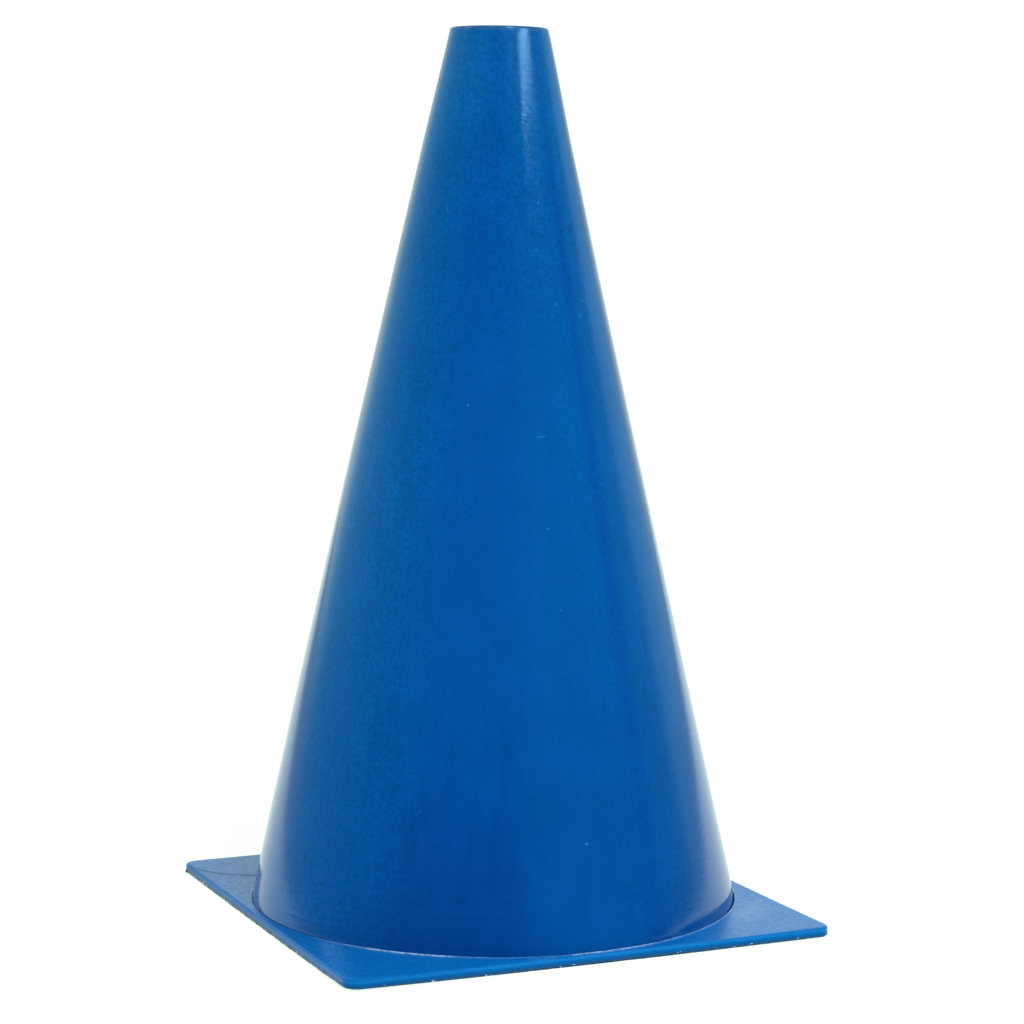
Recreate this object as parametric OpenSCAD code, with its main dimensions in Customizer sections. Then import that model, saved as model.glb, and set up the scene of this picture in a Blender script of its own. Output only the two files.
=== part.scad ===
// Sports marker cone: a hollow tapered shell held in a square base plate.
// Millimetres, +Z up. The origin is the centre of the base plate's underside.

/* [Overall] */
// Height from the ground to the top of the rim
cone_h = 305; // [200:1:460]
// Side of the square base plate
base_side = 175; // [140:1:260]
// Thickness of the base plate
base_t = 3.3; // [2.8:0.1:6]

/* [Cone wall] */
// Thickness of the wall, measured square to it
wall = 2; // [1.2:0.1:2.6]
// How far the wall tucks in at its foot, where it goes down through the plate
foot_tuck = 0.8; // [0:0.1:1.2]
// Height of the tucked part of the wall above the plate
tuck_h = 3.6; // [1:0.1:6]
// Width of the sloping step between the tucked wall and the plate's opening
foot_step = 0.6; // [0.2:0.1:0.9]
// How deep the outer edge of that step lies below the top of the plate
step_depth = 0.3; // [0.1:0.05:0.6]

/* [Rim and pole hole] */
// Radius of the round pole hole in the top
pole_hole_r = 13; // [10:0.1:20]
// Width of the rim round the pole hole
rim_w = 3.7; // [3:0.1:5]
// Depth of the straight collar that guides the pole
collar_depth = 10; // [5:0.5:25]
// Rounding of the rim's two edges
rim_round = 1; // [0.4:0.1:1.4]

/* [Foot flange] */
// Thickness of the flange turned out at the foot of the shell
flange_t = 1.4; // [1:0.1:1.8]
// How far the flange reaches under the plate, past the edge of its opening
flange_reach = 1; // [0.8:0.1:4]
// Height of the flange above the ground
flange_lift = 0.2; // [0.1:0.1:0.4]

/* [Base plate] */
// Radius of the plate's four corners, seen from above
corner_r = 5; // [3:0.5:20]
// Rounding of the plate's upper edge
edge_round = 0.9; // [0.3:0.1:1.2]
// Width of plate left outside the flange seat, half way along a side
seat_wall = 1.5; // [1.2:0.1:10]
// Clearance round the flange in its seat
seat_gap = 0.1; // [0.05:0.05:0.3]
// Clearance between the shell's foot and the plate's opening
foot_gap = 0.2; // [0.1:0.05:0.5]

/* [Lip and parting line] */
// Radius of the bead round the plate's opening
lip_r = 0.45; // [0.35:0.05:0.6]
// How far the bead stands above the plate
lip_proud = 0.5; // [0.2:0.05:0.6]
// How far the bead reaches into the groove
lip_overhang = 0.1; // [0.05:0.05:0.2]
// Direction in which the parting line leaves the opening, in degrees from +X
parting_angle = 141; // [100:1:170]
// Width of the parting line that runs from the opening out to one side, near a corner
parting_w = 0.5; // [0.3:0.1:1]
// Depth of the parting line
parting_depth = 0.2; // [0.1:0.05:0.5]

/* [Hidden] */
$fn = 96;

// Chords in a rounded rim edge
rim_chords = 6;
// How far a cut runs past the face that it opens
overrun = 1;

// Levels, from the ground up
seat_z = flange_lift + flange_t;
step_z = base_t - step_depth;
rim_edge_z = cone_h - rim_round;
collar_z = cone_h - collar_depth;

// Radii of the foot, counted inwards from the side of the plate. The straight wall would meet the top of
// the plate at foot_r. Its tucked part ends at neck_r, and the shell fills the plate's opening up to plug_r.
seat_r = base_side / 2 - seat_wall;
flange_r = seat_r - seat_gap;
opening_r = flange_r - flange_reach;
plug_r = opening_r - foot_gap;
neck_r = plug_r - foot_step;
foot_r = neck_r + foot_tuck;
top_r = pole_hole_r + rim_w;

// How much the wall draws in for each millimetre of height, and its thickness measured level
taper = (foot_r - top_r) / (rim_edge_z - base_t);
wall_level = wall / cos(atan(taper));

// Radius inside the shell at a level
function inner_r(z) = foot_r - taper * (z - base_t) - wall_level;

// Level where the slope under the collar, at 45 degrees, leaves the inner wall
collar_slope_z = collar_z - (inner_r(collar_z) - pole_hole_r);

// A quarter round from one angle to another, about a centre
function quarter_round(centre, r, from, to) =
    [for (i = [0:rim_chords]) centre + r * [cos(from + (to - from) * i / rim_chords),
                                            sin(from + (to - from) * i / rim_chords)]];

// Half of the shell's section, from the flange up the outside, over the rim and down the inside
function shell_outline() = concat(
    [[foot_r - wall_level, flange_lift], [flange_r, flange_lift], [flange_r, seat_z]],
    [[plug_r, seat_z], [plug_r, step_z], [neck_r, step_z + foot_step], [foot_r - taper * tuck_h, base_t + tuck_h]],
    quarter_round([top_r - rim_round, rim_edge_z], rim_round, 0, 90),
    quarter_round([pole_hole_r + rim_round, rim_edge_z], rim_round, 90, 180),
    [[pole_hole_r, collar_z], [inner_r(collar_slope_z), collar_slope_z]],
    [[foot_r - wall_level, base_t]]
);

module cone_shell() {
    color("#0a5da6") rotate_extrude() polygon(shell_outline());
}

// Section of the plate's edge: square below, rounded above
module edge_section(width) {
    square([width, base_t - edge_round]);
    square([width - edge_round, base_t]);
    translate([width - edge_round, base_t - edge_round]) circle(edge_round);
}

// A strip of plate from side to side, as long as the straight part of the other two sides
module plate_strip() {
    straight = base_side - 2 * corner_r;
    rotate([90, 0, 0]) translate([0, 0, -straight / 2]) linear_extrude(straight) {
        edge_section(base_side / 2);
        mirror([1, 0]) edge_section(base_side / 2);
    }
}

// The whole slab, before it is opened
module plate_slab() {
    corner_at = base_side / 2 - corner_r;
    plate_strip();
    rotate(90) plate_strip();
    for (x = [-corner_at, corner_at], y = [-corner_at, corner_at])
        translate([x, y, 0]) rotate_extrude() intersection() {
            edge_section(corner_r);
            square([corner_r, base_t]);
        }
}

// Round opening that the shell comes up through, with the flange's seat cut from below
module plate_opening() {
    translate([0, 0, -overrun]) cylinder(h = base_t + 2 * overrun, r = opening_r);
    translate([0, 0, -overrun]) cylinder(h = seat_z + overrun, r = seat_r);
}

// Bead round the opening
module opening_lip() {
    rotate_extrude()
        translate([opening_r - lip_overhang + lip_r, base_t + lip_proud - lip_r]) circle(lip_r);
}

// Fine groove on top, from the bead to the side
module parting_line() {
    start = opening_r + 2 * lip_r;
    finish = base_side * sqrt(2) / 2 + overrun;
    rotate(parting_angle) translate([start, -parting_w / 2, base_t - parting_depth])
        cube([finish - start, parting_w, parting_depth + overrun]);
}

module base_plate() {
    color("#0d62ad") {
        difference() {
            plate_slab();
            plate_opening();
            parting_line();
        }
        opening_lip();
    }
}

cone_shell();
base_plate();
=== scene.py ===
import math

import bmesh
import bpy
from mathutils import Matrix, Vector, noise


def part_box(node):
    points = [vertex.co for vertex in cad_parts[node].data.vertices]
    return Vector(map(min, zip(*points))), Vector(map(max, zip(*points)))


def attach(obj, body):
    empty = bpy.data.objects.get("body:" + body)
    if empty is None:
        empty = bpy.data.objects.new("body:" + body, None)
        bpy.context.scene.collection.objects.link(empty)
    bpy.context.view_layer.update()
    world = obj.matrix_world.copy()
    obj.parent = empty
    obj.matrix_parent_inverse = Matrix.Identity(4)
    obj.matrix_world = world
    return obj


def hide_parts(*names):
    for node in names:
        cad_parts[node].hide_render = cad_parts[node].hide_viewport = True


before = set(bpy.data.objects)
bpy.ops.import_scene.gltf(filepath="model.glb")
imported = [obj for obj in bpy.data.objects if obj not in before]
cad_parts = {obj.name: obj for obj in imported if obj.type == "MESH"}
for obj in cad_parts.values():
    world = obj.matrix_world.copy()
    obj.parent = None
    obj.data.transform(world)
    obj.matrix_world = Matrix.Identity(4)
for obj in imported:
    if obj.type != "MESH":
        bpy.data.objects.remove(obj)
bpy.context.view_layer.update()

# Sizes, in metres. The overall ones come from the frame. The small ones repeat the part's own, apart from the
# rim's rounding, which is a little tighter on the photographed cone.
MM = 0.001
SHELL_LOW, SHELL_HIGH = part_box("cone_shell")
PLATE_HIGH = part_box("base_plate")[1]

HALF_SIDE = PLATE_HIGH.x
FLANGE_R = SHELL_HIGH.x
RIM_TOP = SHELL_HIGH.z
FLANGE_LIFT = SHELL_LOW.z

LIP_R = 0.45 * MM
LIP_PROUD = 0.5 * MM
LIP_OVERHANG = 0.1 * MM
PLATE_TOP = PLATE_HIGH.z - LIP_PROUD
CORNER_R = 5 * MM
EDGE_ROUND = 0.9 * MM
SEAT_GAP = 0.1 * MM
FLANGE_REACH = 1.0 * MM
FLANGE_T = 1.4 * MM
FOOT_GAP = 0.2 * MM
FOOT_STEP = 0.6 * MM
STEP_DEPTH = 0.3 * MM
FOOT_TUCK = 0.8 * MM
TUCK_H = 3.6 * MM
SEAT_R = FLANGE_R + SEAT_GAP
SEAT_Z = FLANGE_LIFT + FLANGE_T
OPENING_R = FLANGE_R - FLANGE_REACH
PLUG_R = OPENING_R - FOOT_GAP
STEP_Z = PLATE_TOP - STEP_DEPTH
NECK_R = PLUG_R - FOOT_STEP
FOOT_R = NECK_R + FOOT_TUCK

WALL = 2 * MM
POLE_HOLE_R = 13 * MM
RIM_W = 3.7 * MM
RIM_ROUND = 0.8 * MM
COLLAR_DEPTH = 10 * MM
TOP_R = POLE_HOLE_R + RIM_W
RIM_EDGE = RIM_TOP - RIM_ROUND
COLLAR_Z = RIM_TOP - COLLAR_DEPTH
TAPER = (FOOT_R - TOP_R) / (RIM_EDGE - PLATE_TOP)
WALL_LEVEL = WALL / math.cos(math.atan(TAPER))

# Where the photograph was taken from: fitted to the outline, the foot, the rim and the base edges
CAMERA_AT = Vector((-387.946, -896.994, 250.119)) * MM
CAMERA_AZIMUTH = -23.726
CAMERA_ELEVATION = 6.503
CAMERA_ROLL = 0.344
CAMERA_LENS = 99.447
SENSOR = 36.0

# Directions on the ground: the side that shows on the right in the photograph, and away from the camera
RIGHT_SIDE = Vector((math.cos(math.radians(CAMERA_AZIMUTH)), math.sin(math.radians(CAMERA_AZIMUTH)), 0))
AWAY = Vector((-RIGHT_SIDE.y, RIGHT_SIDE.x, 0))


def height_share(z):
    """0 where the wall leaves the plate and 1 at the rim."""
    return min(1.0, max(0.0, (z - PLATE_TOP) / (RIM_EDGE - PLATE_TOP)))


def outer_radius(z):
    return FOOT_R - TAPER * (z - PLATE_TOP)


def inner_radius(z):
    return outer_radius(z) - WALL_LEVEL


def smooth_step(low, high, value):
    t = min(1.0, max(0.0, (value - low) / (high - low)))
    return t * t * (3 - 2 * t)


def along(table, at):
    """Value of a table at a place, eased from each of its entries to the next."""
    for (s0, v0), (s1, v1) in zip(table, table[1:]):
        if at <= s1:
            return v0 + (v1 - v0) * smooth_step(s0, s1, at)
    return table[-1][1]


def facing_of(co):
    """Angle on the ground from the side that faces the camera to the right, in degrees."""
    return math.degrees(math.atan2(co.dot(RIGHT_SIDE), -co.dot(AWAY)))


def new_piece(name, bm, material, node, sharp_over):
    """Makes the finished mesh a piece that stands for its CAD node."""
    mesh = bpy.data.meshes.new(name)
    bm.to_mesh(mesh)
    bm.free()
    for face in mesh.polygons:
        face.use_smooth = True
    mesh.set_sharp_from_angle(angle=math.radians(sharp_over))
    piece = bpy.data.objects.new(name, mesh)
    bpy.context.scene.collection.objects.link(piece)
    mesh.materials.append(material)
    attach(piece, "root")
    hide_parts(node)
    return piece


# Cone shell

AROUND_SHELL = 288
# Cuts along the long outer wall, the long inner wall and the short lines of the section
OUTER_CUTS, INNER_CUTS, SHORT_CUTS = 150, 50, 3
# Lengths that tell these apart: the short lines lie between the first two, the inner wall is over the last
SHORT_FROM, SHORT_TO, INNER_FROM = 5 * MM, 20 * MM, 200 * MM
# Corners of the section: the top of the tuck, and the two edges of the rim
TUCK_CORNER, RIM_CORNERS = 6, (7, 8)
# How far the top of the tuck is rounded, and the cuts of that and of the rim's rounding
TUCK_ROUND = 2.2 * MM
TUCK_SEGMENTS, RIM_SEGMENTS = 10, 7

# How the moulding departs from a straight upright cone, at shares of its height, in millimetres:
# how far the wall stands out, and how far the whole shell leans to the right
WALL_STANDS_OUT = [(0, 0), (0.05, 0.15), (0.25, 0.3), (0.42, 0.28), (0.65, 0), (1, 0.04)]
SHELL_LEANS = [(0, 0), (0.12, -0.3), (0.28, -0.48), (0.5, -0.52), (0.7, -0.42), (0.85, -0.16), (1, 0.48)]
# How uneven the wall is, in millimetres, how fine that is, how much less so upwards, and above which share of
# the height it is in full
WALL_UNEVEN, UNEVEN_SCALE, UNEVEN_UPWARDS, UNEVEN_FROM = 0.1, 26, 0.6, 0.02
# The rim's tilt, and the share of the height from which the wall follows it
RIM_TILT = math.radians(0.4)
TILT_FROM = 0.8

# How much of the tuck at the foot is left, by the angle from the side that faces the camera to the right,
# in degrees
TUCK_AROUND = [(-180, 0.5), (-130, 0.4), (-90, 0.15), (-50, 0.1), (25, 0.1), (58, 0.4), (80, 0.7), (180, 0.5)]
# Levels between which the tuck may be less, the radius outside which it may be, and how near the wall then
# comes to the plate's opening
TUCK_FROM, TUCK_TO = STEP_Z - 0.01 * MM, PLATE_TOP + TUCK_H + 3 * MM
TUCK_OUTSIDE = FOOT_R - WALL_LEVEL + 0.9 * MM
TUCK_CLEAR = 0.05 * MM


def less_tucked(co):
    """Pushes the foot's tucked wall back out to the straight one where the moulding has little tuck."""
    flat = Vector((co.x, co.y, 0))
    if not TUCK_FROM < co.z < TUCK_TO or flat.length < TUCK_OUTSIDE:
        return co
    straight = min(outer_radius(co.z), OPENING_R - TUCK_CLEAR)
    radius = flat.length + (straight - flat.length) * (1 - along(TUCK_AROUND, facing_of(co)))
    return flat.normalized() * radius + Vector((0, 0, co.z))


def moulded(co):
    """Where a point of the straight shell really is on the bent, slightly uneven moulding."""
    co = less_tucked(co)
    share = height_share(co.z)
    flat = Vector((co.x, co.y, 0))
    uneven = WALL_UNEVEN * noise.noise(Vector((co.x, co.y, co.z * UNEVEN_UPWARDS)) * UNEVEN_SCALE)
    uneven *= smooth_step(0, UNEVEN_FROM, share)
    moved = co + flat.normalized() * (along(WALL_STANDS_OUT, share) + uneven) * MM
    moved += RIGHT_SIDE * along(SHELL_LEANS, share) * MM
    moved.z -= math.tan(RIM_TILT) * (flat.dot(RIGHT_SIDE) + TOP_R) * smooth_step(TILT_FROM, 1, share)
    return moved


def cut_long(bm, longer_than, shorter_than, cuts):
    """Divides the section's edges that have such a length."""
    edges = [e for e in bm.edges if longer_than <= e.calc_length() < shorter_than]
    bmesh.ops.subdivide_edges(bm, edges=edges, cuts=cuts)


def round_corners(bm, corners, offset, segments):
    bmesh.ops.bevel(bm, geom=corners, offset=offset, offset_type="OFFSET", segments=segments,
                    profile=0.5, affect="VERTICES", material=-1)


def shell_section(bm):
    """Half of the shell's section, as a closed loop of edges in the XZ plane."""
    collar_slope = COLLAR_Z - (inner_radius(COLLAR_Z) - POLE_HOLE_R)
    tuck_z = PLATE_TOP + TUCK_H
    corners = [
        (FOOT_R - WALL_LEVEL, FLANGE_LIFT), (FLANGE_R, FLANGE_LIFT), (FLANGE_R, SEAT_Z), (PLUG_R, SEAT_Z),
        (PLUG_R, STEP_Z), (NECK_R, STEP_Z + FOOT_STEP), (outer_radius(tuck_z), tuck_z),
        (TOP_R, RIM_TOP), (POLE_HOLE_R, RIM_TOP), (POLE_HOLE_R, COLLAR_Z),
        (inner_radius(collar_slope), collar_slope), (FOOT_R - WALL_LEVEL, PLATE_TOP),
    ]
    verts = [bm.verts.new((r, 0, z)) for r, z in corners]
    for i, vert in enumerate(verts):
        bm.edges.new((vert, verts[(i + 1) % len(verts)]))
    round_corners(bm, [verts[TUCK_CORNER]], TUCK_ROUND, TUCK_SEGMENTS)
    round_corners(bm, [verts[i] for i in RIM_CORNERS], RIM_ROUND, RIM_SEGMENTS)
    outer = max(e.calc_length() for e in bm.edges)
    cut_long(bm, SHORT_FROM, SHORT_TO, SHORT_CUTS)
    cut_long(bm, outer - 1 * MM, outer + 1 * MM, OUTER_CUTS)
    cut_long(bm, INNER_FROM, outer - 1 * MM, INNER_CUTS)


def make_shell(material):
    bm = bmesh.new()
    shell_section(bm)
    bmesh.ops.spin(bm, geom=bm.verts[:] + bm.edges[:], cent=(0, 0, 0), axis=(0, 0, 1),
                   dvec=(0, 0, 0), angle=2 * math.pi, steps=AROUND_SHELL, use_merge=True)
    for v in bm.verts:
        v.co = moulded(v.co)
    bmesh.ops.recalc_face_normals(bm, faces=bm.faces[:])
    return new_piece("moulded_cone_shell", bm, material, "cone_shell", sharp_over=50)


# Base plate

AROUND_PLATE = 1440
# The parting line's direction, the width between its edges, where the photographed plate's is wider than the
# part's plain groove, and its depth
PARTING_ANGLE = math.radians(141)
PARTING_W = 1.5 * MM
PARTING_DEPTH = 0.2 * MM
# Distance of the vertices at the parting line from its middle, as shares of its width
PARTING_SHARES = (-0.9, -0.5, 0.0, 0.5, 0.9)
# How far the parting line strays from straight, by the distance from the centre, in millimetres
PARTING_STRAYS = [(86, 0.2), (99, 1.6), (104, 1.3), (108, 0), (114, -3.8)]
# How far from the line the plate's mesh strays with it: wholly, and not at all
STRAYS_WITHIN, STRAYS_NOT = 1 * MM, 14 * MM
# How much of the bead round the opening is left, by the same angle as the tuck's
BEAD_AROUND = [(-180, 0.8), (-112, 0.7), (-84, 0.7), (-76, 0.1), (-44, 0.1), (-30, 0.7), (-9, 0.7), (2, 0.35),
               (17, 0.3), (22, 0.8), (40, 0.6), (180, 0.8)]
# How uneven the bead is, and how fine that is
BEAD_UNEVEN, BEAD_SCALE = 0.35, 160
# How far the front and the right corner of the plate stand off the ground, and from which radius they lift
FRONT_LIFT, RIGHT_LIFT = 0.6 * MM, 0.4 * MM
LIFT_FROM = 80 * MM
LIFT_POWER = 1.5
# Depth of the ragged edge that the trimming left all round, its height, and its waves: how deep and how fine
BURR = 0.3 * MM
TRIM_TOP = 1.4 * MM
BURR_WAVES = ((0.5, 110), (0.6, 520), (0.6, 1500))
BURR_GAIN = 1.2
# Depth, direction and half width, as an angle, of the tag that the trimming left at the left corner
TAG = 0.9 * MM
TAG_ANGLE = math.radians(136.5)
TAG_SPREAD = 0.006

# Places of the rings on the plate's top, as shares of the way from the bead to the side, and those down its
# side, as the inset and the height in millimetres
TOP_RINGS = (0.04, 0.12, 0.25, 0.4, 0.55, 0.7, 0.84, 0.94)
SIDE_RINGS = ((0, 1.9), (0, 1.4), (0, 1.0), (0.02, 0.7), (0.06, 0.4), (0.15, 0.15), (0.5, 0.0))
BEAD_STEPS, ROUND_STEPS = 9, 6


def side_radius(angle, inset):
    """Distance from the centre to the side of a rounded square, drawn in by inset."""
    half = HALF_SIDE - BURR - inset
    corner = max(CORNER_R - inset, 0.1 * MM)
    a, b = abs(math.cos(angle)), abs(math.sin(angle))
    reach = half / max(a, b)
    straight = half - corner
    if reach * min(a, b) <= straight:
        return reach
    total = straight * (a + b)
    return total + math.sqrt(max(0.0, total * total - 2 * straight * straight + corner * corner))


def plate_rings():
    """The plate's section as rings, from the opening's wall over the bead, the top and the side to the seat.
    Each is (kind, radius or inset, height), where a radius is from the centre and an inset from the side."""
    bead_at = OPENING_R - LIP_OVERHANG + LIP_R
    bead_z = PLATE_TOP + LIP_PROUD - LIP_R
    bead_end = math.asin((PLATE_TOP - bead_z) / LIP_R)
    bead_start = math.pi + math.acos((bead_at - OPENING_R) / LIP_R)
    rings = []
    for i in range(BEAD_STEPS + 1):
        a = bead_start + (bead_end - bead_start) * i / BEAD_STEPS
        rings.append(("bead", bead_at + LIP_R * math.cos(a), bead_z + LIP_R * math.sin(a)))
    for share in TOP_RINGS:
        rings.append(("top", share, PLATE_TOP))
    for i in range(ROUND_STEPS + 1):
        a = math.pi / 2 * (1 - i / ROUND_STEPS)
        rings.append(("side", EDGE_ROUND * (1 - math.cos(a)), PLATE_TOP - EDGE_ROUND * (1 - math.sin(a))))
    for inset, z in SIDE_RINGS:
        rings.append(("trim" if z * MM < TRIM_TOP else "side", inset * MM, z * MM))
    rings.append(("round", SEAT_R, 0))
    rings.append(("round", SEAT_R, SEAT_Z))
    rings.append(("round", OPENING_R, SEAT_Z))
    return rings


def burr_reach(p, z, angle):
    """How far the trimmed lower edge stands out at a point of the plain side, with its tag."""
    rough = sum(depth * noise.noise(p * scale) for depth, scale in BURR_WAVES)
    reach = BURR * max(-1.0, min(1.0, BURR_GAIN * rough))
    reach += TAG * math.exp(-((angle - TAG_ANGLE) / TAG_SPREAD) ** 2)
    return reach * (1 - z / TRIM_TOP)


def corner_lift(r, angle):
    """How far the plate stands off the ground at a place near one of its two lifted corners."""
    c, s = math.cos(angle), math.sin(angle)
    if r <= LIFT_FROM or c * s == 0:
        return 0
    share = (r - LIFT_FROM) / (HALF_SIDE * math.sqrt(2) - LIFT_FROM)
    lift = FRONT_LIFT if c < 0 and s < 0 else RIGHT_LIFT if c > 0 and s < 0 else 0
    return lift * share ** LIFT_POWER * smooth_step(0, 0.5, abs(math.sin(2 * angle)))


def plate_point(kind, at, z, angle):
    """One vertex of a ring, with the small unevenness of a trimmed moulding."""
    c, s = math.cos(angle), math.sin(angle)
    r = at
    if kind == "top":
        inner = OPENING_R - LIP_OVERHANG + 2 * LIP_R
        r = inner + (side_radius(angle, EDGE_ROUND) - inner) * at
    elif kind in ("side", "trim"):
        r = side_radius(angle, at)
    p = Vector((r * c, r * s, z))
    if kind == "bead" and z > PLATE_TOP:
        left = along(BEAD_AROUND, facing_of(p)) * (1 + BEAD_UNEVEN * noise.noise(p * BEAD_SCALE))
        p.z = PLATE_TOP + (z - PLATE_TOP) * left
    if kind == "trim":
        r += burr_reach(p, z, angle)
        p = Vector((r * c, r * s, z))
    p.z += corner_lift(r, angle)
    return p


def ring_reach(kind, at):
    """About how far from the centre a ring crosses the parting line."""
    corner_reach = side_radius(PARTING_ANGLE, 0)
    if kind == "top":
        return OPENING_R + (corner_reach - OPENING_R) * at
    return corner_reach if kind in ("side", "trim") else OPENING_R


def place_ring(ring, verts, angles, special, turn):
    """Moves a ring's vertices to their places, and sinks the parting line's groove where it crosses them."""
    kind, at, z = ring
    reach = ring_reach(kind, at)
    stray = along(PARTING_STRAYS, reach / MM) * MM
    for i, v in enumerate(verts):
        angle = angles[i]
        if i in special:
            angle = PARTING_ANGLE + turn * special[i] * PARTING_W / reach
        beside = abs(angle - PARTING_ANGLE) * reach
        angle += stray / reach * (1 - smooth_step(STRAYS_WITHIN, STRAYS_NOT, beside))
        v.co = plate_point(kind, at, z, angle)
        if special.get(i) == 0.0 and kind in ("top", "side"):
            v.co.z -= PARTING_DEPTH


def make_plate(material):
    rings = plate_rings()
    bm = bmesh.new()
    bmesh.ops.create_circle(bm, segments=AROUND_PLATE, radius=OPENING_R)
    bm.verts.ensure_lookup_table()
    loop = bm.verts[:]
    angles = [math.atan2(v.co.y, v.co.x) for v in loop]
    nearest = min(range(len(loop)), key=lambda i: abs(angles[i] - PARTING_ANGLE))
    first_special = nearest - len(PARTING_SHARES) // 2
    special = {(first_special + i) % len(loop): share for i, share in enumerate(PARTING_SHARES)}
    turn = 1 if angles[(nearest + 1) % len(loop)] > angles[nearest] else -1

    place_ring(rings[0], loop, angles, special, turn)
    first_edges = bm.edges[:]
    edges = first_edges
    for ring in rings[1:]:
        made = bmesh.ops.extrude_edge_only(bm, edges=edges)["geom"]
        before = set(loop)
        fresh = {v for v in made if isinstance(v, bmesh.types.BMVert)}
        follow = []
        for v in loop:
            follow.append(next(e.other_vert(v) for e in v.link_edges if e.other_vert(v) in fresh))
        loop = follow
        edges = [e for e in made if isinstance(e, bmesh.types.BMEdge) and not (set(e.verts) & before)]
        place_ring(ring, loop, angles, special, turn)
    bmesh.ops.bridge_loops(bm, edges=first_edges + edges)
    bmesh.ops.recalc_face_normals(bm, faces=bm.faces[:])
    return new_piece("trimmed_base_plate", bm, material, "base_plate", sharp_over=40)


# Materials: what both of them use

# Nearly all of a noise lies between the wide pair of values, and most of it between the narrow pair
NOISE_WIDE, NOISE_NARROW = (0.3, 0.7), (0.35, 0.65)


def add(tree, kind, inputs=None, **settings):
    """Adds a shader node. Its inputs are given by name or number, each as a value or as a socket to link."""
    made = tree.nodes.new(kind)
    for key, value in settings.items():
        setattr(made, key, value)
    for key, value in (inputs or {}).items():
        if isinstance(value, bpy.types.NodeSocket):
            tree.links.new(value, made.inputs[key])
        else:
            made.inputs[key].default_value = value
    return made


def stretched_noise(tree, position, stretch, scale, detail=2.0, roughness=0.5):
    """Noise over the object, finer along an axis the larger its number in stretch. Returns its value."""
    mapping = add(tree, "ShaderNodeMapping", {"Vector": position, "Scale": stretch})
    return add(tree, "ShaderNodeTexNoise", {"Vector": mapping.outputs[0], "Scale": scale, "Detail": detail,
                                            "Roughness": roughness}).outputs[0]


def remap(tree, value, low, high, to_low=0.0, to_high=1.0):
    """A value eased from one range to another, and held at the range's ends."""
    made = add(tree, "ShaderNodeMapRange", {0: value, 1: low, 2: high, 3: to_low, 4: to_high},
               interpolation_type="SMOOTHSTEP")
    return made.outputs[0]


def maths(tree, operation, a, b=0.0):
    return add(tree, "ShaderNodeMath", {0: a, 1: b}, operation=operation).outputs[0]


def plus(tree, a, b):
    return maths(tree, "ADD", a, b)


def times(tree, a, b):
    return maths(tree, "MULTIPLY", a, b)


def swing(tree, pattern, amount):
    """A pattern of 0 to 1 as a swing on both sides of nothing."""
    return times(tree, maths(tree, "SUBTRACT", pattern, 0.5), amount)


def mix_colour(tree, share, a, b):
    made = add(tree, "ShaderNodeMix", {0: share}, data_type="RGBA")
    for key, value in ((6, a), (7, b)):
        if isinstance(value, bpy.types.NodeSocket):
            tree.links.new(value, made.inputs[key])
        else:
            made.inputs[key].default_value = (*value, 1)
    return made.outputs[2]


def bump(tree, height, depth, below=None):
    """Normal of a surface that a 0 to 1 height raises by depth metres, laid over another normal."""
    inputs = {"Strength": 1.0, "Distance": depth, "Height": height}
    if below is not None:
        inputs["Normal"] = below
    return add(tree, "ShaderNodeBump", inputs).outputs[0]


def new_material(name):
    """A material, its node tree, its shader, and the socket of the place on the object."""
    material = bpy.data.materials.new(name)
    material.use_nodes = True
    tree = material.node_tree
    position = add(tree, "ShaderNodeTexCoord").outputs["Object"]
    return material, tree, tree.nodes["Principled BSDF"], position


def height_of(tree, position):
    return add(tree, "ShaderNodeSeparateXYZ", {0: position}).outputs[2]


def length_of(tree, vector):
    return add(tree, "ShaderNodeVectorMath", {0: vector}, operation="LENGTH").outputs["Value"]


def towards(tree, vector, axis):
    """How far a vector reaches along an axis."""
    return add(tree, "ShaderNodeVectorMath", {0: vector, 1: axis}, operation="DOT_PRODUCT").outputs["Value"]


def turn_share(tree, vector, ahead):
    """Angle on the ground from ahead towards the right side, as 0 to 1 for -180 to 180 degrees."""
    angle = maths(tree, "ARCTAN2", towards(tree, vector, RIGHT_SIDE), towards(tree, vector, ahead))
    return add(tree, "ShaderNodeMapRange", {0: angle, 1: -math.pi, 2: math.pi}).outputs[0]


def ramp(tree, share, table, full=1.0):
    """Colour or brightness from a table of (degrees, value). Share is 0 to 1 for -180 to 180 degrees."""
    made = add(tree, "ShaderNodeValToRGB", {0: share})
    stops = made.color_ramp.elements
    while len(stops) > 1:
        stops.remove(stops[-1])
    for i, (angle, value) in enumerate(table):
        place = (angle + 180) / 360
        stop = stops[0] if i == 0 else stops.new(place)
        stop.position = place
        value = value if isinstance(value, tuple) else (value,) * 3
        stop.color = tuple(v / full for v in value) + (1,)
    return made.outputs[0]


def patch(tree, position, middle, turn, half_lengths):
    """Distance from the middle of a turned patch, where 1 is its edge."""
    inputs = {"Vector": position, "Location": middle, "Rotation": (0, 0, turn), "Scale": half_lengths}
    mapping = add(tree, "ShaderNodeMapping", inputs, vector_type="TEXTURE")
    return length_of(tree, mapping.outputs[0])


# The shell's plastic

SHELL_BLUE = (0.0006, 0.106, 0.4)
# Blue of the bands of painted shade, which stand for darker reflections of the studio
SHADED_BAND_BLUE = (0.0003, 0.08, 0.39)
# Painted shade towards the foot, where less light falls on the wall
FOOT_SHADE_BLUE = (0.0003, 0.062, 0.3)
# Painted light that makes the top of the shell paler
LIT_TOP_BLUE = (0.003, 0.14, 0.45)
# Navy of the painted shade low down in front
NAVY_SHADE = (0.0003, 0.05, 0.275)
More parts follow.
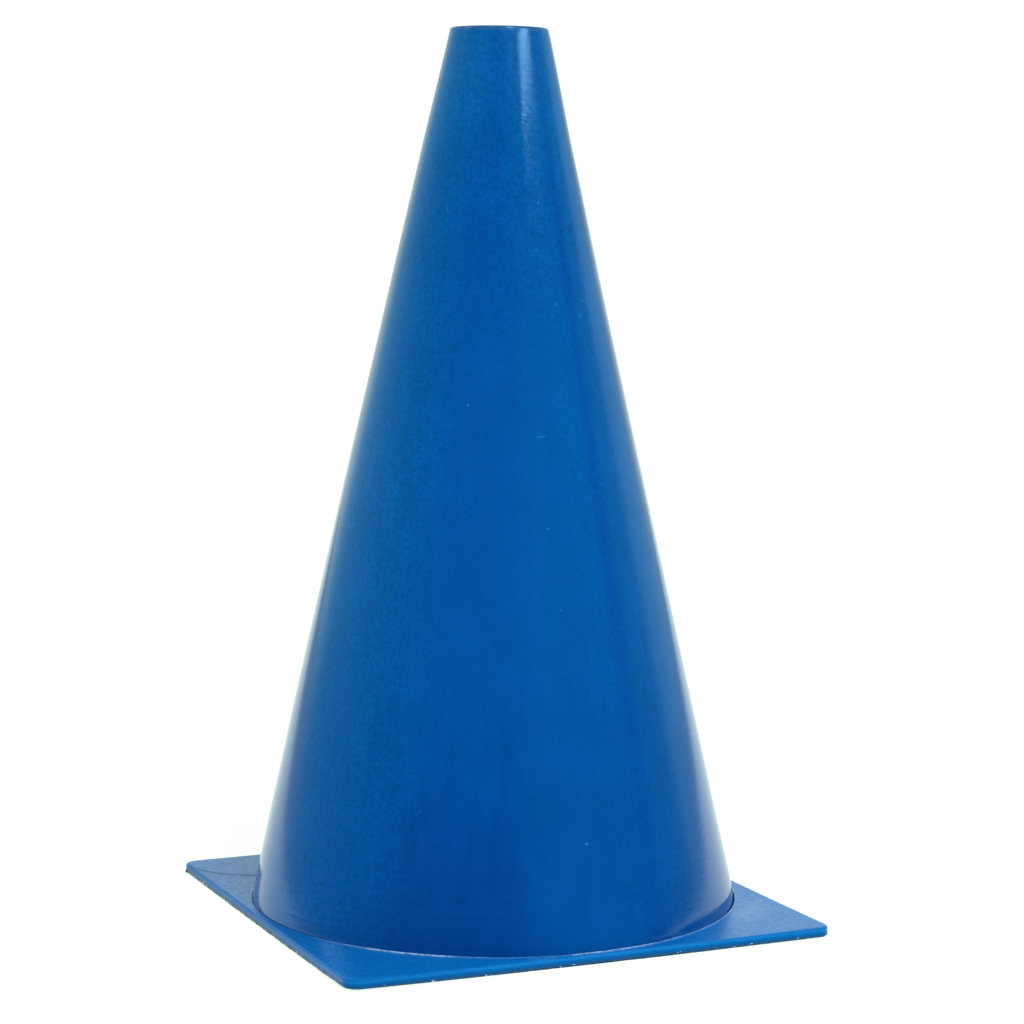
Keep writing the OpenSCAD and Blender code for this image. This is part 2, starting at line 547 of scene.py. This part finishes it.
# Painted shade along the rim's edge, and a painted highlight under it
RIM_SHADE = (0.01, 0.06, 0.2)
RIM_HIGHLIGHT = (0.03, 0.14, 0.37)
SPECK_BLUE = (0.08, 0.4, 0.9)
# The shell's gloss: tint, strength, how rough it is from the grain's low to its high places
SHELL_TINT, SHELL_SHINE, SHELL_ROUGHNESS = (0.2, 0.65, 1.0, 1), 0.7, (0.08, 0.12)

# Patterns on the shell, as the stretch along each axis, how fine, how detailed and how rough
SHELL_MOTTLE = ((1, 1, 1), 55, 3)
FLOW_STREAKS = ((1, 1, 0.05), 260, 3)
SHELL_GRAIN = ((1, 1, 1), 700, 3, 0.7)
TOOL_MARKS = ((0.03, 0.03, 1), 800, 2)

# Painted shade in bands on the shell's blue, by the angle from the side facing the camera to the right, in
# degrees
SHADED_BANDS = [(-180, 0), (-37, 0), (-24, 0.3), (-15, 0.65), (-5, 0.55), (6, 0.5), (13, 0.12), (17, 0),
              (22, 0.2), (28, 0), (37, 0), (41.5, 1), (46.5, 0), (180, 0)]
# How much navy painted shade the foot has, and how much painted light makes the top paler, by the same angle
NAVY_SHADE_AROUND = [(-180, 0), (-30, 0), (-20, 1), (2, 1), (12, 0), (180, 0)]
LIT_TOP_AROUND = [(-180, 0.6), (-15, 0.6), (-5, 0.2), (15, 0.2), (30, 0.4), (180, 0.5)]
# How plain the grain of the shell is, by the same angle
GRAINY_SIDES = [(-180, 0.95), (-30, 0.95), (-10, 0.35), (20, 0.25), (35, 0.65), (180, 0.65)]

# What changes with the height on the shell. Each is two heights, in metres, and how plain it is at each.
FOOT_MARKS = (0.015, 0.06, 1.0, 0.1)
TOP_MARKS = (0.24, 0.3, 0.1, 0.6)
GRAINY_TOP = (0.12, 0.26, 0.05, 0.95)
# Painted shade: the blue deepens towards the foot
FOOT_SHADE = (0.0, 0.17, 0.75, 0.0)
NAVY_SHADE_HEIGHTS = (0.015, 0.085, 0.75, 0.0)
# Painted light on the top of the shell
LIT_TOP_HEIGHTS = (0.24, 0.29, 0.0, 1.0)
# The same for the roughness that the scuffed top adds
SCUFFED_TOP = (0.262, 0.298, 0.0, 0.1)
# The same for the rim's painted highlight band and its dark line of painted shade, by the level counted from
# its tilted top
RIM_HIGHLIGHT_BAND = (-1.9 * MM, -1.2 * MM, 0.0, 0.6)
RIM_SHADE_LINE = (-0.9 * MM, -0.3 * MM, 0.0, 0.85)

# How much the mottle and the streaks darken and lighten the blue, and how much the tool marks do
MOTTLE_SHADES, STREAK_SHADES, MARKS_SHADE = (0.96, 1.04), (0.97, 1.03), 0.2
# How high the grain and the tool marks stand
SHELL_GRAIN_DEPTH, MARKS_DEPTH = 0.028 * MM, 0.015 * MM
# How far the streaks make the upper edge of the navy painted shade ragged, in metres
NAVY_SHADE_RAGGED = 0.05

# Pale specks and short scratches on the shell: angle as above, height, length along the wall and across, in
# millimetres, and how plain they are
SPECKS = [
    (-11.5, 179.3, 0.9, 1.2, 0.4), (18.7, 168.9, 0.5, 4.2, 0.25), (19.1, 139, 0.6, 1.8, 0.35),
    (-8.4, 144.6, 0.5, 1.8, 0.15), (21.6, 112.7, 1.4, 1.4, 0.12), (27.5, 245.7, 1.0, 0.7, 0.35),
    (23.3, 230.2, 0.7, 1.0, 0.25), (32.3, 212.3, 2.0, 0.6, 0.25), (51, 213, 1.0, 1.5, 0.2),
    (47.4, 208.1, 1.0, 1.3, 0.18), (-32.7, 243.5, 2.2, 0.7, 0.2), (-29.6, 78.6, 0.6, 0.7, 0.12),
    (-32.1, 61.9, 0.5, 3, 0.12), (-29.3, 62.2, 0.6, 0.6, 0.15), (-18.4, 48.1, 0.8, 0.8, 0.18),
    (-19.1, 47.1, 0.7, 0.7, 0.18), (16.9, 71, 0.7, 0.7, 0.22), (23.6, 37.7, 0.9, 1.2, 0.45),
    (56.5, 56.8, 0.8, 0.8, 0.3), (29.8, 55.8, 0.5, 0.5, 0.1),
]
# How far a speck reaches through the wall's surface
SPECK_THROUGH = 1.5 * MM


def spot(tree, position, angle, height, tall, wide):
    """1 in a small patch of the shell's wall and 0 outside it."""
    turn = math.radians(CAMERA_AZIMUTH + angle)
    outward = Vector((math.sin(turn), -math.cos(turn), 0))
    middle = outward * outer_radius(height) + Vector((0, 0, height))
    away = patch(tree, position, middle, turn, (wide / 2, SPECK_THROUGH, tall / 2))
    return remap(tree, away, 0.5, 1.0, 1.0, 0.0)


def shell_blue(tree, height, facing, streaks):
    """The moulding's blue, with painted shade in bands, towards the foot and navy low in front, and a painted
    paler top.
    """
    colour = mix_colour(tree, ramp(tree, facing, SHADED_BANDS), SHELL_BLUE, SHADED_BAND_BLUE)
    colour = mix_colour(tree, remap(tree, height, *FOOT_SHADE), colour, FOOT_SHADE_BLUE)
    lit_top = times(tree, remap(tree, height, *LIT_TOP_HEIGHTS), ramp(tree, facing, LIT_TOP_AROUND))
    colour = mix_colour(tree, lit_top, colour, LIT_TOP_BLUE)
    # Navy painted shade low down in front, with a ragged upper edge
    ragged = plus(tree, height, swing(tree, streaks, NAVY_SHADE_RAGGED))
    navy = times(tree, ramp(tree, facing, NAVY_SHADE_AROUND), remap(tree, ragged, *NAVY_SHADE_HEIGHTS))
    return mix_colour(tree, navy, colour, NAVY_SHADE)


def rim_highlight_and_shade(tree, position, colour):
    """A band of painted highlight under the tilted rim and a line of painted shade along its edge, over the
    shell's blue.
    """
    rim_plane = RIGHT_SIDE * math.tan(RIM_TILT) + Vector((0, 0, 1))
    rim_level = plus(tree, towards(tree, position, rim_plane), TOP_R * math.tan(RIM_TILT) - RIM_TOP)
    colour = mix_colour(tree, remap(tree, rim_level, *RIM_HIGHLIGHT_BAND), colour, RIM_HIGHLIGHT)
    return mix_colour(tree, remap(tree, rim_level, *RIM_SHADE_LINE), colour, RIM_SHADE)


def shell_shade(tree, position, height, facing, streaks, grain, level_marks, marked):
    """How much paler or darker the blue is from place to place: mottle, streaks, grain and tool marks."""
    mottle = stretched_noise(tree, position, *SHELL_MOTTLE)
    shade = remap(tree, mottle, *NOISE_WIDE, *MOTTLE_SHADES)
    shade = times(tree, shade, remap(tree, streaks, *NOISE_WIDE, *STREAK_SHADES))
    grainy = maths(tree, "MAXIMUM", remap(tree, height, *GRAINY_TOP), ramp(tree, facing, GRAINY_SIDES))
    shade = times(tree, shade, plus(tree, swing(tree, grain, grainy), 1.0))
    line_shade = times(tree, swing(tree, level_marks, marked), MARKS_SHADE)
    return times(tree, shade, plus(tree, line_shade, 1.0))


def scaled_colour(tree, colour, share):
    scaled = add(tree, "ShaderNodeVectorMath", {0: colour}, operation="SCALE")
    tree.links.new(share, scaled.inputs["Scale"])
    return scaled.outputs[0]


def moulded_plastic():
    """Semi-gloss blue moulding: mottled, faintly streaked up and down, tool marks round the foot and top."""
    material, tree, shader, position = new_material("moulded_blue_cone")
    height = height_of(tree, position)
    facing = turn_share(tree, position, -AWAY)
    streaks = stretched_noise(tree, position, *FLOW_STREAKS)
    grain = stretched_noise(tree, position, *SHELL_GRAIN)
    level_marks = stretched_noise(tree, position, *TOOL_MARKS)
    marked = maths(tree, "MAXIMUM", remap(tree, height, *FOOT_MARKS), remap(tree, height, *TOP_MARKS))

    colour = rim_highlight_and_shade(tree, position, shell_blue(tree, height, facing, streaks))
    shade = shell_shade(tree, position, height, facing, streaks, grain, level_marks, marked)
    colour = scaled_colour(tree, colour, shade)
    for angle, level, tall, wide, plain in SPECKS:
        mark = spot(tree, position, angle, level * MM, tall * MM, wide * MM)
        colour = mix_colour(tree, times(tree, mark, plain), colour, SPECK_BLUE)
    tree.links.new(colour, shader.inputs["Base Color"])

    normal = bump(tree, grain, SHELL_GRAIN_DEPTH)
    normal = bump(tree, times(tree, level_marks, marked), MARKS_DEPTH, normal)
    tree.links.new(normal, shader.inputs["Normal"])
    roughness = remap(tree, grain, *NOISE_WIDE, *SHELL_ROUGHNESS)
    roughness = plus(tree, roughness, remap(tree, height, *SCUFFED_TOP))
    tree.links.new(roughness, shader.inputs["Roughness"])
    shader.inputs["Specular IOR Level"].default_value = SHELL_SHINE
    shader.inputs["Specular Tint"].default_value = SHELL_TINT
    return material


# The plate's plastic

PLATE_BLUE = (0.001, 0.16, 0.53)
# Deeper blue of the plate's mottle and of the painted shadow that the cone casts
PLATE_MOTTLE_AND_SHADOW_BLUE = (0.001, 0.105, 0.37)
# Painted highlight on the plate's rounded edge, and painted shade of deeper blue, grey and dark down its side
EDGE_HIGHLIGHT = (0.02, 0.26, 0.7)
EDGE_SHADE_BLUE = (0.001, 0.06, 0.24)
EDGE_SHADE_GREY = (0.03, 0.09, 0.18)
EDGE_SHADE_DARK = (0.015, 0.04, 0.08)
# Pale of the bead's wear and painted highlight, and of the pale bits on the side
PALE_WEAR_AND_HIGHLIGHT = (0.4, 0.6, 0.85)
# The plate's gloss: tint, strength, how rough it is from the grain's low to its high places
PLATE_TINT, PLATE_SHINE, PLATE_ROUGHNESS = (0.1, 0.6, 1.0, 1), 0.15, (0.22, 0.34)

# Patterns on the plate, as the shell's, and its scuffs
PLATE_MOTTLE = ((1, 1, 1), 90, 3)
PLATE_GRAIN = ((1, 1, 1), 750, 3)
EDGE_BITS = ((1, 1, 1.6), 520, 1)
SCUFFS = {"Scale": 130.0, "Detail": 4.0, "Roughness": 0.6, "Distortion": 2.2}

# Painted shade in the parting line's groove: its colour, where it starts, its half width and how plain it is.
# Each of these three is two distances from the centre, and the values at each.
GROOVE_SHADE = (0.001, 0.045, 0.17)
GROOVE_SHADE_STARTS = (OPENING_R + 0.8 * MM, OPENING_R + 1.4 * MM, 0.0, 1.0)
GROOVE_SHADE_HALF_WIDTH = (98 * MM, 112 * MM, 1.8 * MM, 4.0 * MM)
GROOVE_SHADE_PLAIN = (98 * MM, 112 * MM, 0.55, 0.4)
# How the painted shade in the groove fades over its half width, and how far ahead of the centre it may be
GROOVE_SHADE_FADES = (0.2, 1.0, 1.0, 0.0)
GROOVE_SHADE_AHEAD = (0.0, 10 * MM, 0.0, 1.0)

# A pale patch of painted sheen on the plate, broken up by scuffs, near the cone on the right: its colour,
# place, direction and half lengths
SCUFFED_SHEEN_BLUE = (0.16, 0.33, 0.62)
SHEEN_PATCH_AT = Vector((72, -56, 3)) * MM
SHEEN_PATCH_TURN = math.radians(-38)
SHEEN_PATCH_REACH = Vector((9, 22, 5)) * MM
# How the patch fades towards its edge, and how the scuffs break it up
SHEEN_PATCH_FADES = (0.3, 1.0, 0.5, 0.0)
SHEEN_PATCH_BROKEN = (0.4, 0.6, 0.4, 1.0)

# Painted shadow of the cone: how much deeper the plate's blue is on one side, by the same angle as the
# shell's
PLATE_SHADOW_AROUND = [(-180, 0.5), (-115, 1), (-55, 1), (-30, 0.6), (-10, 0.4), (10, 0.2), (30, 0.1), (180, 0.2)]
# How pale the bead round the opening is, by the same angle: wear, and a painted highlight
LIP_WEAR_AND_HIGHLIGHT = [(-180, 0.2), (-112, 0.1), (-104, 0.3), (-86, 0.3), (-78, 0), (-46, 0), (-40, 0.2), (-29, 0.35),
            (-27, 0.9), (-10, 0.8), (-7, 0.25), (4, 0.15), (16, 0.1), (19, 0.75), (36, 0.55), (40, 0.3),
            (72, 0.3), (84, 0.15), (180, 0.2)]

# What changes with the height on the plate's side. Each is two heights, and how plain the thing is at each:
# the painted highlight on the rounded edge, the painted shade of deeper blue below it, the trimmed edge's
# grey and dark, also painted shade, and its pale bits
EDGE_HIGHLIGHT_STARTS, EDGE_HIGHLIGHT_ENDS = (2.3 * MM, 2.6 * MM, 0.0, 1.0), (3.05 * MM, 3.25 * MM, 0.22, 0.0)
EDGE_SHADE_BLUE_HEIGHTS = (1.2 * MM, 2.6 * MM, 0.7, 0.0)
EDGE_SHADE_GREY_HEIGHTS = (0.5 * MM, 1.7 * MM, 0.8, 0.0)
EDGE_SHADE_DARK_HEIGHTS = (0.3 * MM, 0.9 * MM, 0.8, 0.0)
BITS_HEIGHTS = (1.0 * MM, 1.5 * MM, 0.8, 0.0)
# How far the grain makes the heights of the painted grey and dark shade uneven
EDGE_UNEVEN = 0.6 * MM
# Which values of their noise are bits
BITS_FROM = (0.69, 0.73)
# The bead's wear and painted highlight, by the distance from the centre, and how the grain breaks it up
LIP_WIDTH = (OPENING_R + 0.6 * MM, OPENING_R + 1.1 * MM, 1.0, 0.0)
LIP_BROKEN = (0.35, 0.6, 0.4, 1.0)
# How much deeper the blue is in the dark places of the mottle and the grain, and how much less in the light
MOTTLE_DEEPER = (0.15, -0.15)
# How high the scuffs and the grain of the plate stand
SCUFF_DEPTH, PLATE_GRAIN_DEPTH = 0.02 * MM, 0.05 * MM


def parting_groove_shade(tree, position, radius):
    """1 in the parting line's groove and 0 beside it: painted shade, which spreads and fades towards the
    corner.
    """
    ahead = Vector((math.cos(PARTING_ANGLE), math.sin(PARTING_ANGLE), 0))
    out_of_line = towards(tree, position, Vector((-ahead.y, ahead.x, 0)))
    for (r0, s0), (r1, s1) in zip(PARTING_STRAYS, PARTING_STRAYS[1:]):
        step = remap(tree, radius, r0 * MM, r1 * MM, 0.0, (s0 - s1) * MM)
        out_of_line = plus(tree, out_of_line, step)
    out_of_line = maths(tree, "SUBTRACT", out_of_line, PARTING_STRAYS[0][1] * MM)
    half_width = remap(tree, radius, *GROOVE_SHADE_HALF_WIDTH)
    share = maths(tree, "DIVIDE", maths(tree, "ABSOLUTE", out_of_line), half_width)
    shade_in_groove = times(tree, remap(tree, share, *GROOVE_SHADE_FADES), remap(tree, radius, *GROOVE_SHADE_PLAIN))
    shade_in_groove = times(tree, shade_in_groove, remap(tree, towards(tree, position, ahead), *GROOVE_SHADE_AHEAD))
    return times(tree, shade_in_groove, remap(tree, radius, *GROOVE_SHADE_STARTS))


# A pale patch of painted sheen, broken up by the scuffs
def scuffed_sheen_patch(tree, position, scuffs):
    away = patch(tree, position, SHEEN_PATCH_AT, SHEEN_PATCH_TURN, SHEEN_PATCH_REACH)
    return times(tree, remap(tree, away, *SHEEN_PATCH_FADES), remap(tree, scuffs, *SHEEN_PATCH_BROKEN))


def trimmed_edge(tree, position, height, grain, colour):
    """The plate's side: a painted highlight on the rounded edge, painted shade in deeper blue, ragged grey
    and dark, and pale bits.
    """
    # Painted highlight on the rounded edge
    rounded = times(tree, remap(tree, height, *EDGE_HIGHLIGHT_STARTS), remap(tree, height, *EDGE_HIGHLIGHT_ENDS))
    colour = mix_colour(tree, rounded, colour, EDGE_HIGHLIGHT)
    # Painted shade down the side: deeper blue, then grey and dark towards the ragged bottom
    colour = mix_colour(tree, remap(tree, height, *EDGE_SHADE_BLUE_HEIGHTS), colour, EDGE_SHADE_BLUE)
    uneven = plus(tree, height, swing(tree, grain, EDGE_UNEVEN))
    colour = mix_colour(tree, remap(tree, uneven, *EDGE_SHADE_GREY_HEIGHTS), colour, EDGE_SHADE_GREY)
    colour = mix_colour(tree, remap(tree, uneven, *EDGE_SHADE_DARK_HEIGHTS), colour, EDGE_SHADE_DARK)
    bits = remap(tree, stretched_noise(tree, position, *EDGE_BITS), *BITS_FROM)
    bits = times(tree, bits, remap(tree, height, *BITS_HEIGHTS))
    return mix_colour(tree, bits, colour, PALE_WEAR_AND_HIGHLIGHT)


def trimmed_plastic():
    """The plate's blue plastic: scuffed on top, rough where its lower edge was trimmed and dark there with
    painted shade.
    """
    material, tree, shader, position = new_material("trimmed_blue_plate")
    height = height_of(tree, position)
    facing = turn_share(tree, position, -AWAY)
    flat = add(tree, "ShaderNodeVectorMath", {0: position, 1: (1, 1, 0)}, operation="MULTIPLY").outputs[0]
    radius = length_of(tree, flat)
    mottle = stretched_noise(tree, position, *PLATE_MOTTLE)
    grain = stretched_noise(tree, position, *PLATE_GRAIN)
    scuffs = add(tree, "ShaderNodeTexNoise", {"Vector": position, **SCUFFS}).outputs[0]

    shade = plus(tree, times(tree, mottle, 0.5), times(tree, grain, 0.5))
    # Painted shadow of the cone on one side, with the mottle's deeper and paler places
    mottle_and_shadow = plus(tree, ramp(tree, facing, PLATE_SHADOW_AROUND), remap(tree, shade, *NOISE_NARROW, *MOTTLE_DEEPER))
    colour = mix_colour(tree, mottle_and_shadow, PLATE_BLUE, PLATE_MOTTLE_AND_SHADOW_BLUE)
    # Painted shade in the parting line's groove
    colour = mix_colour(tree, parting_groove_shade(tree, position, radius), colour, GROOVE_SHADE)
    # Painted sheen near the cone, broken up by scuffs
    colour = mix_colour(tree, scuffed_sheen_patch(tree, position, scuffs), colour, SCUFFED_SHEEN_BLUE)
    colour = trimmed_edge(tree, position, height, grain, colour)
    # Wear and a painted highlight on the bead round the opening
    lip = remap(tree, radius, *LIP_WIDTH)
    wear_and_highlight = times(tree, ramp(tree, facing, LIP_WEAR_AND_HIGHLIGHT), remap(tree, grain, *LIP_BROKEN))
    colour = mix_colour(tree, times(tree, lip, wear_and_highlight), colour, PALE_WEAR_AND_HIGHLIGHT)
    tree.links.new(colour, shader.inputs["Base Color"])

    normal = bump(tree, grain, PLATE_GRAIN_DEPTH, bump(tree, scuffs, SCUFF_DEPTH))
    tree.links.new(normal, shader.inputs["Normal"])
    tree.links.new(remap(tree, grain, *NOISE_NARROW, *PLATE_ROUGHNESS), shader.inputs["Roughness"])
    shader.inputs["Specular IOR Level"].default_value = PLATE_SHINE
    shader.inputs["Specular Tint"].default_value = PLATE_TINT
    return material


make_shell(moulded_plastic())
make_plate(trimmed_plastic())


# Setting: floor, walls, lights and camera

# Half the side of the floor, in metres
FLOOR_HALF = 6
# The floor is paler and glows more in a pool under the object that widens away from the camera: half the
# pool's width under the object, how wide its soft edge is, and how fast it widens
POOL_HALF, POOL_FADE, POOL_SPREAD = 0.26, 0.25, 0.35
# Colours of the floor and of its glow, in the pool and outside it
FLOOR_PALE, FLOOR_DIM = (0.28, 0.28, 0.28), (0.21, 0.24, 0.23)
FLOOR_GLOW, FLOOR_DIM_GLOW = (0.78, 0.9, 0.78), (0.15, 0.26, 0.22)

# Colour and brightness of the studio, by the angle from AWAY to the right, in degrees: the white backdrop
# straight behind, the cooler walls on both sides of it, and the dark room round the camera
STUDIO_WALLS = [
    (-180, (0.05, 0.05, 0.05)), (-110, (0.13, 0.2, 0.2)), (-85, (0.25, 0.5, 0.5)), (-58, (0.43, 0.78, 0.75)),
    (-45, (0.5, 0.85, 0.8)), (-33, (0.85, 1.05, 0.9)), (-15, (0.9, 1.0, 0.85)), (-11, (1.04, 1.3, 1.15)),
    (11, (1.04, 1.3, 1.15)), (18, (1.0, 1.05, 0.85)), (28, (0.75, 0.8, 0.6)), (37, (0.45, 0.6, 0.5)),
    (48, (0.47, 0.75, 0.7)), (61, (0.5, 0.8, 0.75)), (70, (0.15, 0.28, 0.28)), (100, (0.07, 0.1, 0.12)),
    (180, (0.05, 0.05, 0.05)),
]
# The highest value above, which the world's strength carries
BRIGHTEST = 1.3
# Colour of the walls near the ground on both sides, how far it takes over, by the same angle, and how high it
# reaches, as the sine of the angle above the horizon
LOW_WALL = (0.1, 0.41, 0.38)
LOW_WALLS = [(-180, 0), (-110, 0.7), (-60, 0.7), (-45, 0.2), (-35, 0), (35, 0), (48, 0.2), (58, 0.4),
             (72, 0.2), (180, 0)]
LOW_WALL_TOP = 0.22
# Colour of the ceiling, and the angles above the horizon between which the walls give way to it
CEILING = (0.85, 0.85, 0.85)
WALL_TOP, CEILING_FROM = math.radians(25), math.radians(65)

# Distant lights, as the name, the angle from the camera to the right, the one above the horizon and the power
DISTANT_LIGHTS = (("front_key", 30, 45, 1.3), ("left_fill", -90, 35, 0.36), ("left_top_fill", -25, 55, 0.3))
# How far off their lamps stand, and how wide they look from the cone
LAMP_DISTANCE, SOFTNESS = 4, math.radians(12)
# The long, slightly warm strip light on the right, which mirrors as the streak near the top
STRIP_LIGHT = {"around": 59, "up": 31, "distance": 1.6, "power": 4.6, "shape": "ELLIPSE", "size": 0.75,
               "size_y": 0.06, "color": (1.0, 0.75, 0.68)}


def make_floor():
    bm = bmesh.new()
    bmesh.ops.create_grid(bm, x_segments=1, y_segments=1, size=FLOOR_HALF)
    mesh = bpy.data.meshes.new("pale_floor")
    bm.to_mesh(mesh)
    bm.free()
    floor = bpy.data.objects.new("pale_floor", mesh)
    bpy.context.scene.collection.objects.link(floor)
    material, tree, shader, position = new_material("pale_floor")
    sideways = maths(tree, "ABSOLUTE", towards(tree, position, RIGHT_SIDE))
    widening = times(tree, towards(tree, position, AWAY), POOL_SPREAD)
    outside = maths(tree, "SUBTRACT", sideways, widening)
    dim = remap(tree, outside, POOL_HALF, POOL_HALF + POOL_FADE)
    tree.links.new(mix_colour(tree, dim, FLOOR_PALE, FLOOR_DIM), shader.inputs["Base Color"])
    tree.links.new(mix_colour(tree, dim, FLOOR_GLOW, FLOOR_DIM_GLOW), shader.inputs["Emission Color"])
    shader.inputs["Roughness"].default_value = 0.9
    shader.inputs["Specular IOR Level"].default_value = 0.0
    shader.inputs["Emission Strength"].default_value = 1.0
    mesh.materials.append(material)


def make_world():
    """Studio walls of uneven brightness under a bright ceiling."""
    world = bpy.data.worlds.new("studio")
    bpy.context.scene.world = world
    world.use_nodes = True
    tree = world.node_tree
    direction = add(tree, "ShaderNodeTexCoord").outputs["Generated"]
    turn = turn_share(tree, direction, AWAY)
    up = towards(tree, direction, (0, 0, 1))
    low = times(tree, ramp(tree, turn, LOW_WALLS), remap(tree, up, 0.0, LOW_WALL_TOP, 1.0, 0.0))
    low_wall, ceiling = (tuple(c / BRIGHTEST for c in colour) for colour in (LOW_WALL, CEILING))
    walls = mix_colour(tree, low, ramp(tree, turn, STUDIO_WALLS, BRIGHTEST), low_wall)
    overhead = remap(tree, up, math.sin(WALL_TOP), math.sin(CEILING_FROM))
    background = tree.nodes["Background"]
    tree.links.new(mix_colour(tree, overhead, walls, ceiling), background.inputs["Color"])
    background.inputs["Strength"].default_value = BRIGHTEST


def place_light(name, kind, around, up, distance, power, **shape):
    """A light aimed at the middle of the cone. Angles are in degrees, around from the camera to the right."""
    turn, rise = math.radians(around), math.radians(up)
    level = RIGHT_SIDE * math.sin(turn) - AWAY * math.cos(turn)
    middle = Vector((0, 0, RIM_TOP / 2))
    light = bpy.data.lights.new(name, kind)
    light.energy = power
    for key, value in shape.items():
        setattr(light, key, value)
    lamp = bpy.data.objects.new(name, light)
    lamp.location = middle + (level * math.cos(rise) + Vector((0, 0, math.sin(rise)))) * distance
    lamp.rotation_mode = "QUATERNION"
    lamp.rotation_quaternion = (middle - lamp.location).to_track_quat("-Z", "Y")
    bpy.context.scene.collection.objects.link(lamp)


def make_camera():
    data = bpy.data.cameras.new("camera")
    data.sensor_width = SENSOR
    data.lens = CAMERA_LENS
    camera = bpy.data.objects.new("camera", data)
    bpy.context.scene.collection.objects.link(camera)
    turn = (Matrix.Rotation(math.radians(CAMERA_AZIMUTH), 4, "Z")
            @ Matrix.Rotation(math.radians(90 - CAMERA_ELEVATION), 4, "X")
            @ Matrix.Rotation(math.radians(CAMERA_ROLL), 4, "Z"))
    camera.matrix_world = Matrix.Translation(CAMERA_AT) @ turn
    bpy.context.scene.camera = camera


make_floor()
make_world()
for light_name, *aim, light_power in DISTANT_LIGHTS:
    place_light(light_name, "SUN", *aim, LAMP_DISTANCE, light_power, angle=SOFTNESS)
place_light("strip_light", "AREA", **STRIP_LIGHT)
make_camera()
bpy.context.scene.view_settings.view_transform = "Standard"
